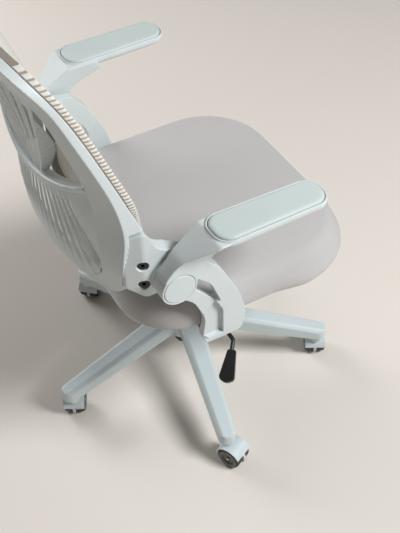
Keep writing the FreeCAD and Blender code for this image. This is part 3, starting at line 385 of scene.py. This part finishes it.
def woven_cloth(name, light, dark, thread):
    """Plain weave: two crossing sets of threads, a slubby drift of tone and a soft sheen."""
    material, tree, shader = node_material(name)
    place = tree.nodes.new("ShaderNodeTexCoord")
    heights = []
    for direction in ("X", "Y"):
        threads = tree.nodes.new("ShaderNodeTexWave")
        threads.bands_direction = direction
        threads.inputs["Scale"].default_value = WAVE_UNIT / thread
        threads.inputs["Distortion"].default_value = 1.4
        threads.inputs["Detail"].default_value = 2.0
        threads.inputs["Detail Scale"].default_value = 3.0
        tree.links.new(place.outputs["Object"], threads.inputs["Vector"])
        heights.append(threads.outputs["Fac"])
    weave = tree.nodes.new("ShaderNodeMath")
    weave.operation = "MULTIPLY"
    tree.links.new(heights[0], weave.inputs[0])
    tree.links.new(heights[1], weave.inputs[1])
    slub = grain(tree, scale=650.0, detail=4.0, roughness=0.7)
    blend = tree.nodes.new("ShaderNodeMath")
    blend.operation = "MULTIPLY_ADD"
    blend.inputs[1].default_value = 0.35
    tree.links.new(weave.outputs["Value"], blend.inputs[0])
    tree.links.new(slub.outputs["Fac"], blend.inputs[2])
    tint = ramp(tree, blend.outputs["Value"], dark, light, start=0.25, end=0.85)
    tree.links.new(tint.outputs["Color"], shader.inputs["Base Color"])
    shader.inputs["Roughness"].default_value = 0.92
    shader.inputs["Specular IOR Level"].default_value = 0.15
    shader.inputs["Sheen Weight"].default_value = 0.35
    shader.inputs["Sheen Roughness"].default_value = 0.45
    bump(tree, shader, blend.outputs["Value"], strength=0.45, distance=0.0003)
    return material


def clamped(value, low, high):
    """The value, kept between two limits."""
    return max(low, min(high, value))


def gently(value):
    """Smooth rise from 0 to 1."""
    value = clamped(value, 0.0, 1.0)
    return value * value * (3.0 - 2.0 * value)


seat_cloth = woven_cloth("seat_cloth", FABRIC_LIGHT, FABRIC_DARK, THREAD)
coat(nodes["seat_pan"], moulded_plastic("pan_plastic", PAN_COLOUR, roughness=0.55))
cushion = eased_copy("seat_cushion", "seat_cushion_cover", CUSHION_VOXEL, CUSHION_EASE, keep=1.0)
for vertex, normal in [(v, v.normal.copy()) for v in cushion.data.vertices]:
    vertex.co += normal * CUSHION_SWELL
seat_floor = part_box("seat_cushion")[0].z
for vertex in cushion.data.vertices:
    vertex.co.z = max(vertex.co.z, seat_floor)
    vertex.co.x = clamped(vertex.co.x, -CUSHION_HALF, CUSHION_HALF)
smoothing(cushion, "settle", CUSHION_EASE)
rounding = cushion.modifiers.new("rounding", "SUBSURF")
rounding.levels = 1
rounding.render_levels = 1
applied(cushion)
for vertex in cushion.data.vertices:
    beyond_x = abs(vertex.co.x) - STRAIGHT_HALVES[0]
    beyond_y = abs(vertex.co.y - CUSHION_MIDDLE) - STRAIGHT_HALVES[1]
    outward = Vector((math.copysign(max(beyond_x, 0.0), vertex.co.x),
                      math.copysign(max(beyond_y, 0.0), vertex.co.y - CUSHION_MIDDLE), 0.0))
    rim = gently(1.0 - (CUSHION_CORNER - outward.length) / RIM_WIDTH)
    low = gently((RIM_TOP - vertex.co.z) / RIM_TOP_FADE)
    clear = gently((abs(vertex.co.y - BRACKET_FOOT) - BRACKET_FOOT_HALF) / BRACKET_FOOT_FADE)
    ahead = gently((RIM_FRONT - vertex.co.y) / RIM_FRONT_FADE)
    vertex.co.z -= RIM_DROP * rim * low * clear
    vertex.co += outward.normalized() * (RIM_PUSH * rim * low * ahead)
shaded_smooth(cushion.data)
stands_for(cushion, "seat_cushion", "seat", seat_cloth)

# The side brackets: hooked mouldings that rise from under the seat, carry the armrest pivot
# and bolt to the backrest through two deep black-headed screws each.
FRAME_COLOUR = (0.68, 0.74, 0.745, 1.0)
frame_plastic = moulded_plastic("frame_plastic", FRAME_COLOUR, roughness=0.36)
for side in ("right", "left"):
    bracket = eased_copy("side_bracket_" + side, "side_bracket_%s_moulding" % side, voxel=0.0010, passes=2)
    stands_for(bracket, "side_bracket_" + side, "seat", frame_plastic)
    coat(nodes["arm_pivot_pin_" + side], bright_steel)
for node in ("knuckle_bolts", "bracket_bolts"):
    coat(nodes[node], bolt_black)

# The armrests: a moulding that sweeps from the pivot boss up a flared neck to a tray,
# a self-skinned foam pad let into the tray, and a snap-in cap over the pivot.
PAD_COLOUR = (0.60, 0.68, 0.665, 1.0)
pad_skin = moulded_plastic("pad_skin", PAD_COLOUR, roughness=0.5, grain_size=0.0009, depth=0.00008)
for side in ("right", "left"):
    arm = "arm_" + side
    body = eased_copy("arm_body_" + side, "arm_body_%s_moulding" % side, voxel=0.0012, passes=5)
    stands_for(body, "arm_body_" + side, arm, frame_plastic)
    pad = eased_copy("arm_pad_" + side, "arm_pad_%s_skin" % side, voxel=0.0012, passes=10)
    stands_for(pad, "arm_pad_" + side, arm, pad_skin)
    cap = eased_copy("arm_pivot_cap_" + side, "arm_pivot_cap_%s_moulding" % side, voxel=0.0008, passes=4)
    stands_for(cap, "arm_pivot_cap_" + side, arm, frame_plastic)

# The backrest: a moulded frame with wide side bands, a fan-slotted lower shell under a smiling bar,
# and a fan panel above it, leaving a leaf-shaped opening on each side. A carrier stands in front,
# coloured a warm brown as painted shade for the dim space behind the shells.
CARRIER_SHADE_COLOUR = (0.30, 0.27, 0.235, 1.0)
back_frame = eased_copy("back_frame", "back_frame_moulding", voxel=0.0012, passes=2)
stands_for(back_frame, "back_frame", "seat", frame_plastic)
# Painted shade: the carrier's warm brown stands in for the shade behind the shells, not its own colour.
carrier_painted_shade = moulded_plastic("carrier_painted_shade", CARRIER_SHADE_COLOUR, roughness=0.55)
carrier = eased_copy("mesh_carrier", "mesh_carrier_moulding", voxel=0.0016, passes=4)
stands_for(carrier, "mesh_carrier", "seat", carrier_painted_shade)

# The two fan shells: thin walls that follow the back's bulge, cut by slots that spread from one pole.
# The wall swells between the slots and sinks along them, and the grooves run out toward the rim.
# The level tables give height, depth at the side edge, and bulge at the middle.
BACK_EDGE = 0.235
BACK_REACH = 0.262
REAR_LEVELS = ((0.470, 0.226, 0.046), (0.560, 0.222, 0.059), (0.642, 0.223, 0.063), (0.712, 0.229, 0.064),
               (0.781, 0.249, 0.060), (0.864, 0.280, 0.052), (0.918, 0.304, 0.044), (1.000, 0.345, 0.032))
LOBE_LEVELS = ((0.470, 0.226, 0.051), (0.560, 0.222, 0.061), (0.642, 0.223, 0.061), (0.712, 0.229, 0.052),
               (0.781, 0.249, 0.048))
SLOPE_STEP = 0.001
REACH_LIMITS = (0.05, 0.6)
REACH_HALVINGS = 18
STRIP_STEPS = (-1.0, -0.6, 0.0, 0.6)
LAND_STEPS = 8
RIM_STEPS = 12
ROWS_TO_SLOT = 4
ROWS_ALONG_SLOT = 22
ROWS_TO_RIM = 14
SLOT_START_LIMITS = (0.06, 0.7)
SLOT_LEAST_LENGTH = 0.05
SLOT_END_LIMIT = 0.94
SHELL_BEVEL = 0.0005
SHELL_BEVEL_ANGLE = math.radians(50)
BAR_RADIUS = 0.320
BAR_LOW = 0.667
BAR_HALF = 0.188
BAR_HEIGHT = 0.014
BAR_DEPTH = 0.026
BAR_PROUD = 0.002
BAR_OVERLAP = 0.004
BAR_SQUARENESS = 0.7
BAR_SIDES = 20
BAR_LENGTHS = 72
LOWER_WINDOW_HALF = 0.1866
LOWER_WINDOW_FLOOR = 0.5114
LOWER_CORNER = (0.126, 0.572)
LOWER_CORNER_RADIUS = 0.0606
UPPER_WINDOW_TOP = 0.9335
UPPER_CORNER = 0.128
UPPER_CORNER_SLOPE = (0.044, 0.056)
PANEL_EDGE = math.radians(26.0)
WALL_LEVELS = ((0.690, 0.018), (0.727, 0.027), (0.757, 0.031), (0.789, 0.025),
               (0.814, 0.018), (0.836, 0.011), (0.858, 0.005))
WALL_PITCH = 0.0086
WALL_RIB = 0.0008
WALL_INSET = 0.0012
WALL_START = 0.0035
WALL_THICKNESS = 0.0022
WALL_COLUMNS = 6
WALL_ROWS = 168


def eased_between(table, z):
    """Smooth values at a height, from rows of a height and its values."""
    spot = clamped(sum(1 for row in table if row[0] <= z), 1, len(table) - 1)
    low, high = table[spot - 1], table[spot]
    span = high[0] - low[0]
    share = (z - low[0]) / span
    square, cube = share ** 2, share ** 3
    values = []
    for item in range(1, len(low)):
        slopes = []
        for place in (spot - 1, spot):
            before, after = table[max(place - 1, 0)], table[min(place + 1, len(table) - 1)]
            slopes.append((after[item] - before[item]) / (after[0] - before[0]) * span)
        values.append(low[item] * (2 * cube - 3 * square + 1) + slopes[0] * (cube - 2 * square + share)
                      + high[item] * (3 * square - 2 * cube) + slopes[1] * (cube - square))
    return values


def back_depth(levels, x, z):
    """Rear face of the back: an arc across it at each height."""
    edge, bulge = eased_between(levels, z)
    rise = bulge * (BACK_REACH / BACK_EDGE) ** 2
    radius = (BACK_REACH ** 2 + rise ** 2) / (2 * rise)
    return edge + bulge - radius + math.sqrt(radius ** 2 - x ** 2)


def on_back(levels, x, z, lift):
    """Point over the rear face, lifted square to it."""
    step = SLOPE_STEP
    lean_x = (back_depth(levels, x + step, z) - back_depth(levels, x - step, z)) / (2 * step)
    lean_z = (back_depth(levels, x, z + step) - back_depth(levels, x, z - step)) / (2 * step)
    outward = Vector((-lean_x, 1.0, -lean_z)).normalized()
    return Vector((x, back_depth(levels, x, z), z)) + outward * lift


def reach_to(inside, pole, rise, angle):
    """Distance from the pole at which a ray leaves an outline, by halving the interval."""
    low, high = REACH_LIMITS
    for _ in range(REACH_HALVINGS):
        middle = (low + high) / 2
        if inside(abs(middle * math.sin(angle)), pole + rise * middle * math.cos(angle)):
            low = middle
        else:
            high = middle
    return low


def fan_stations(count):
    """The fan's columns in order: one rim, the slots with the land between them, the other rim."""
    stations = [("rim", 0, 1.0 - step / RIM_STEPS) for step in range(RIM_STEPS)]
    for slot in range(count):
        stations += [("slot", slot, share) for share in STRIP_STEPS]
        if slot < count - 1:
            stations += [("land", slot, step / LAND_STEPS) for step in range(LAND_STEPS)]
    return stations + [("rim", count - 1, step / RIM_STEPS) for step in range(RIM_STEPS + 1)]


def row_marks(first, last):
    """Shares of the way from the bar to the rim: up to the slot, along it and past it."""
    marks = [first * row / ROWS_TO_SLOT for row in range(ROWS_TO_SLOT)]
    marks += [first + (last - first) * row / ROWS_ALONG_SLOT for row in range(ROWS_ALONG_SLOT)]
    return marks + [last + (1.0 - last) * row / ROWS_TO_RIM for row in range(ROWS_TO_RIM + 1)]


def fan_point(fan, levels, reach, turn, lift):
    """Point of the fan at a distance and an angle from its pole."""
    return on_back(levels, reach * math.sin(turn), fan["pole"] + fan["rise"] * reach * math.cos(turn), lift)


def fan_column(fan, kind, slot, share):
    """Points of one column, from the bar out to the rim and on under the frame's edge."""
    spread, edge = fan["spread"], fan["edge"]
    pitch = 2 * spread / (fan["count"] - 1)
    side = -1.0 if slot == 0 else 1.0
    centre = -spread + slot * pitch
    angle = centre
    if kind == "rim":
        angle = centre + side * share * (edge - spread)
    elif kind == "land":
        angle = centre + pitch * share
    across = clamped(angle / spread, -1.0, 1.0)
    start = reach_to(fan["inside_start"], fan["pole"], fan["rise"], angle)
    finish = reach_to(fan["inside_finish"], fan["pole"], fan["rise"], angle)
    span = finish - start
    slot_start, slot_end = fan["slot_start"](across), fan["slot_end"](across)
    if kind == "slot":
        bow = math.sqrt(1.0 - share ** 2)
        slot_start -= fan["narrow"] * bow
        slot_end += fan["wide"] * bow
    first = clamped((slot_start - start) / span, *SLOT_START_LIMITS)
    last = clamped((slot_end - start) / span, first + SLOT_LEAST_LENGTH, SLOT_END_LIMIT)
    points = []
    for mark in row_marks(first, last):
        reach = start + span * mark
        along = clamped((mark - first) / (last - first), 0.0, 1.0)
        half = (fan["narrow"] + (fan["wide"] - fan["narrow"]) * along) / reach
        if kind == "slot":
            turn = centre + share * half
            swell = 0.0
        elif kind == "land":
            turn = centre + half + (pitch - 2 * half) * share
            swell = math.sin(math.pi * share) ** 2
        else:
            turn = centre + side * (half + (edge - spread - half) * share)
            swell = math.sin(math.pi * min(share * 2.0, 0.5)) ** 2
        fade = 1.0 if mark < last else 0.5 + 0.5 * math.cos(math.pi * (mark - last) / (1.0 - last))
        lift = fan["base"] + fan["crown"] * (fan["calm"] + (1.0 - fan["calm"]) * along) * swell * fade
        lift += fan["crown"] * 0.5 * (1.0 - fade)
        points.append(fan_point(fan, fan["levels"], reach, turn, lift))
    for lap in (0.0, fan["lap"]):
        points.append(fan_point(fan, REAR_LEVELS, finish + lap, turn, fan["tuck"]))
    return points


def thickened(piece, thickness):
    """Gives a surface its wall, inward from its face."""
    wall = piece.modifiers.new("wall", "SOLIDIFY")
    wall.thickness = thickness
    wall.offset = -1.0


def fan_shell(name, fan):
    """Slotted wall in fan coordinates: columns fan out from the pole, rows run from the bar to the rim."""
    stations = fan_stations(fan["count"])
    points = []
    for kind, slot, share in stations:
        points += fan_column(fan, kind, slot, share)
    rows = len(points) // len(stations)
    slot_rows = range(ROWS_TO_SLOT, ROWS_TO_SLOT + ROWS_ALONG_SLOT)
    faces = []
    for column in range(len(stations) - 1):
        for row in range(rows - 1):
            if stations[column][0] == "slot" and row in slot_rows:
                continue
            corner = column * rows + row
            quad = (corner, corner + rows, corner + rows + 1, corner + 1)
            faces.append(quad if fan["rise"] < 0 else quad[::-1])
    mesh = bpy.data.meshes.new(name)
    mesh.from_pydata(points, [], faces)
    piece = new_piece(name, mesh)
    thickened(piece, fan["wall"])
    edges = piece.modifiers.new("edges", "BEVEL")
    edges.width = SHELL_BEVEL
    edges.segments = 2
    edges.angle_limit = SHELL_BEVEL_ANGLE
    applied(piece)
    return piece


def squared(value):
    """A circle's ordinate, pushed out toward a square."""
    return math.copysign(abs(value) ** BAR_SQUARENESS, value)


def smiling_bar():
    """The bar that crosses the back between the two shells, as a rounded sweep."""
    points = []
    faces = []
    for step in range(BAR_LENGTHS + 1):
        x = BAR_HALF * (2.0 * step / BAR_LENGTHS - 1.0)
        z = BAR_LOW + BAR_RADIUS - math.sqrt(BAR_RADIUS ** 2 - x ** 2) + BAR_HEIGHT / 2
        middle = back_depth(REAR_LEVELS, x, z) + BAR_PROUD - BAR_DEPTH / 2
        for turn in range(BAR_SIDES):
            angle = 2 * math.pi * turn / BAR_SIDES
            points.append((x, middle + squared(math.cos(angle)) * BAR_DEPTH / 2,
                           z + squared(math.sin(angle)) * BAR_HEIGHT / 2))
    for step in range(BAR_LENGTHS):
        for turn in range(BAR_SIDES):
            ahead = (turn + 1) % BAR_SIDES
            faces.append((step * BAR_SIDES + turn, (step + 1) * BAR_SIDES + turn,
                          (step + 1) * BAR_SIDES + ahead, step * BAR_SIDES + ahead))
    faces.append(tuple(range(BAR_SIDES)))
    faces.append(tuple(BAR_LENGTHS * BAR_SIDES + turn for turn in reversed(range(BAR_SIDES))))
    mesh = bpy.data.meshes.new("smiling_bar")
    mesh.from_pydata(points, [], faces)
    return mesh


def side_wall(side):
    """Ribbed wall along an edge of the upper panel, deepest at its middle."""
    points = []
    faces = []
    stride = WALL_COLUMNS + 1
    for row in range(WALL_ROWS + 1):
        z = WALL_LEVELS[0][0] + (WALL_LEVELS[-1][0] - WALL_LEVELS[0][0]) * row / WALL_ROWS
        front = eased_between(WALL_LEVELS, z)[0]
        rib = WALL_RIB * math.cos(2 * math.pi * z / WALL_PITCH)
        x = (z - UPPER_FAN["pole"]) * math.tan(PANEL_EDGE) - WALL_INSET + rib
        rear = back_depth(REAR_LEVELS, x, z) - WALL_START
        for step in range(stride):
            points.append((side * x, rear - (front - WALL_START) * step / WALL_COLUMNS, z))
    for row in range(WALL_ROWS):
        for step in range(WALL_COLUMNS):
            corner = row * stride + step
            quad = (corner, corner + 1, corner + stride + 1, corner + stride)
            faces.append(quad if side < 0 else quad[::-1])
    mesh = bpy.data.meshes.new("panel_wall")
    mesh.from_pydata(points, [], faces)
    piece = new_piece("panel_wall", mesh)
    thickened(piece, WALL_THICKNESS)
    mesh = applied(piece)
    bpy.data.objects.remove(piece)
    return mesh


def joined_to(piece, meshes):
    """Adds further meshes to the piece."""
    whole = bmesh.new()
    for mesh in [piece.data] + meshes:
        whole.from_mesh(mesh)
    whole.to_mesh(piece.data)
    whole.free()


def above_bar_foot(x, z):
    """True above a line just inside the bar's lower edge, where the lower shell starts."""
    return math.hypot(x, z - BAR_LOW - BAR_RADIUS) < BAR_RADIUS - BAR_OVERLAP


def in_lower_window(x, z):
    """True inside the frame's window below the bar, with its rounded corner."""
    if x > LOWER_CORNER[0] and z < LOWER_CORNER[1]:
        return math.hypot(x - LOWER_CORNER[0], z - LOWER_CORNER[1]) < LOWER_CORNER_RADIUS
    return x < LOWER_WINDOW_HALF and z > LOWER_WINDOW_FLOOR


def below_bar_top(x, z):
    """True below a line just past the bar's upper edge, where the upper panel starts."""
    return math.hypot(x, z - BAR_LOW - BAR_HEIGHT - BAR_RADIUS) > BAR_RADIUS - BAR_OVERLAP


def in_upper_window(x, z):
    """True below the frame's top edge and its sloped corner."""
    slope_x, slope_z = UPPER_CORNER_SLOPE
    corner = slope_x * UPPER_CORNER + slope_z * UPPER_WINDOW_TOP
    return z < UPPER_WINDOW_TOP and slope_x * x + slope_z * z < corner


LOWER_FAN = {
    "count": 17, "spread": math.radians(30.5), "pole": 0.860, "rise": -1.0, "levels": LOBE_LEVELS,
    "inside_start": above_bar_foot, "inside_finish": in_lower_window,
    "slot_start": lambda share: 0.220 + 0.014 * share ** 2,
    "slot_end": lambda share: 0.256 + 0.100 * abs(share),
    "edge": math.radians(54.0),
    "narrow": 0.0026, "wide": 0.0060, "base": -0.0072, "crown": 0.0030, "calm": 0.2,
    "tuck": -0.0094, "lap": 0.007, "wall": 0.0014}
UPPER_FAN = {
    "count": 11, "spread": math.radians(23.0), "pole": 0.560, "rise": 1.0, "levels": REAR_LEVELS,
    "inside_start": below_bar_top, "inside_finish": in_upper_window,
    "slot_start": lambda share: 0.150 + 0.095 * abs(share) ** 1.5,
    "slot_end": lambda share: 0.345 - 0.010 * share ** 2,
    "edge": PANEL_EDGE,
    "narrow": 0.0030, "wide": 0.0062, "base": -0.0066, "crown": 0.0026, "calm": 0.5,
    "tuck": -0.0094, "lap": 0.009, "wall": 0.0018}
lower_shell = fan_shell("lower_shell_fan", LOWER_FAN)
joined_to(lower_shell, [smiling_bar()])
upper_shell = fan_shell("upper_shell_fan", UPPER_FAN)
joined_to(upper_shell, [side_wall(-1.0), side_wall(1.0)])
for shell, node in ((lower_shell, "lower_shell"), (upper_shell, "upper_shell")):
    shaded_smooth(shell.data)
    stands_for(shell, node, "seat", frame_plastic)

# The back mesh: a ribbed cream net stretched over the carrier and turned round its sides.
# The ribs run across the back, and the turned edges step outward and back from the net's side.
MESH_LIGHT = (0.92, 0.90, 0.85, 1.0)
# Painted shade: the gaps between the ribs are coloured a warm brown for the shade seen through them, not
# the net's own colour.
MESH_GAP_SHADE = (0.46, 0.37, 0.28, 1.0)
MESH_THROUGH = 0.22
RIB_PITCH = 0.0072
RIB_HEIGHT = 0.0007
ROWS_PER_RIB = 8
MESH_COLUMNS = 64
TURNED_BACK = ((0.0002, 0.0112), (0.0009, 0.0084), (0.0011, 0.0050), (0.0007, 0.0018))
NET_MARGIN = 0.002
NET_INSET = 0.0008
NET_SINK = 0.0006
WIDTH_SEARCH = 0.01
WIDTH_HALVINGS = 16


def ribbed_net(name, light, dark):
    """Knitted net: pale ribs with gaps in a painted brown shade, lit through from behind."""
    material, tree, shader = node_material(name)
    place = tree.nodes.new("ShaderNodeTexCoord")
    split = tree.nodes.new("ShaderNodeSeparateXYZ")
    tree.links.new(place.outputs["Object"], split.inputs["Vector"])
    turn = tree.nodes.new("ShaderNodeMath")
    turn.operation = "MULTIPLY"
    turn.inputs[1].default_value = 2 * math.pi / RIB_PITCH
    tree.links.new(split.outputs["Z"], turn.inputs[0])
    rib = tree.nodes.new("ShaderNodeMath")
    rib.operation = "COSINE"
    tree.links.new(turn.outputs["Value"], rib.inputs[0])
    crest = tree.nodes.new("ShaderNodeMath")
    crest.operation = "MULTIPLY_ADD"
    crest.inputs[1].default_value = 0.5
    crest.inputs[2].default_value = 0.5
    tree.links.new(rib.outputs["Value"], crest.inputs[0])
    # Painted shade: the ramp darkens the gaps between the ribs to the brown gap colour.
    tint = ramp(tree, crest.outputs["Value"], dark, light, start=0.06, end=0.42)
    tree.links.new(tint.outputs["Color"], shader.inputs["Base Color"])
    shader.inputs["Roughness"].default_value = 0.85
    shader.inputs["Sheen Weight"].default_value = 0.2
    knit = grain(tree, scale=1400.0, detail=2.0)
    bump(tree, shader, knit.outputs["Fac"], strength=0.4, distance=0.0002)
    glow = tree.nodes.new("ShaderNodeBsdfTranslucent")
    tree.links.new(tint.outputs["Color"], glow.inputs["Color"])
    both = tree.nodes.new("ShaderNodeMixShader")
    both.inputs["Fac"].default_value = MESH_THROUGH
    tree.links.new(shader.outputs["BSDF"], both.inputs[1])
    tree.links.new(glow.outputs["BSDF"], both.inputs[2])
    tree.links.new(both.outputs["Shader"], tree.nodes["Material Output"].inputs["Surface"])
    return material


net_tree = BVHTree.FromPolygons([v.co for v in nodes["back_mesh"].data.vertices],
                                [p.vertices for p in nodes["back_mesh"].data.polygons])
net_low, net_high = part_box("back_mesh")


def net_depth(x, z):
    """Front face of the mesh at this place, or nothing outside its outline."""
    hit = net_tree.ray_cast(Vector((x, -1.0, z)), Vector((0, 1, 0)))[0]
    return None if hit is None else hit.y


def half_width(z):
    """Half width of the mesh at this height, by halving the interval."""
    inside = 0.0
    outside = net_high.x + WIDTH_SEARCH
    for _ in range(WIDTH_HALVINGS):
        middle = (inside + outside) / 2
        if net_depth(middle, z) is None:
            outside = middle
        else:
            inside = middle
    return inside


rib_count = int((net_high.z - net_low.z - 2 * NET_MARGIN) / RIB_PITCH)
row_count = rib_count * ROWS_PER_RIB
net_points = []
for row in range(row_count + 1):
    z = net_low.z + NET_MARGIN + row * RIB_PITCH / ROWS_PER_RIB
    half = half_width(z) - NET_INSET
    swell = RIB_HEIGHT * math.cos(2 * math.pi * z / RIB_PITCH)
    edge = net_depth(half, z)
    for out, back in TURNED_BACK:
        net_points.append((-half - NET_INSET - out - swell, edge + back, z))
    for column in range(MESH_COLUMNS + 1):
        x = half * (2.0 * column / MESH_COLUMNS - 1.0)
        net_points.append((x, net_depth(x, z) + NET_SINK - swell, z))
    for out, back in reversed(TURNED_BACK):
        net_points.append((half + NET_INSET + out + swell, edge + back, z))
net_faces = []
stride = MESH_COLUMNS + 1 + 2 * len(TURNED_BACK)
for row in range(row_count):
    for column in range(stride - 1):
        corner = row * stride + column
        net_faces.append((corner, corner + 1, corner + stride + 1, corner + stride))
net_mesh = bpy.data.meshes.new("back_net")
net_mesh.from_pydata(net_points, [], net_faces)
shaded_smooth(net_mesh)
net = new_piece("back_net", net_mesh)
stands_for(net, "back_mesh", "seat", ribbed_net("mesh_cloth", MESH_LIGHT, MESH_GAP_SHADE))
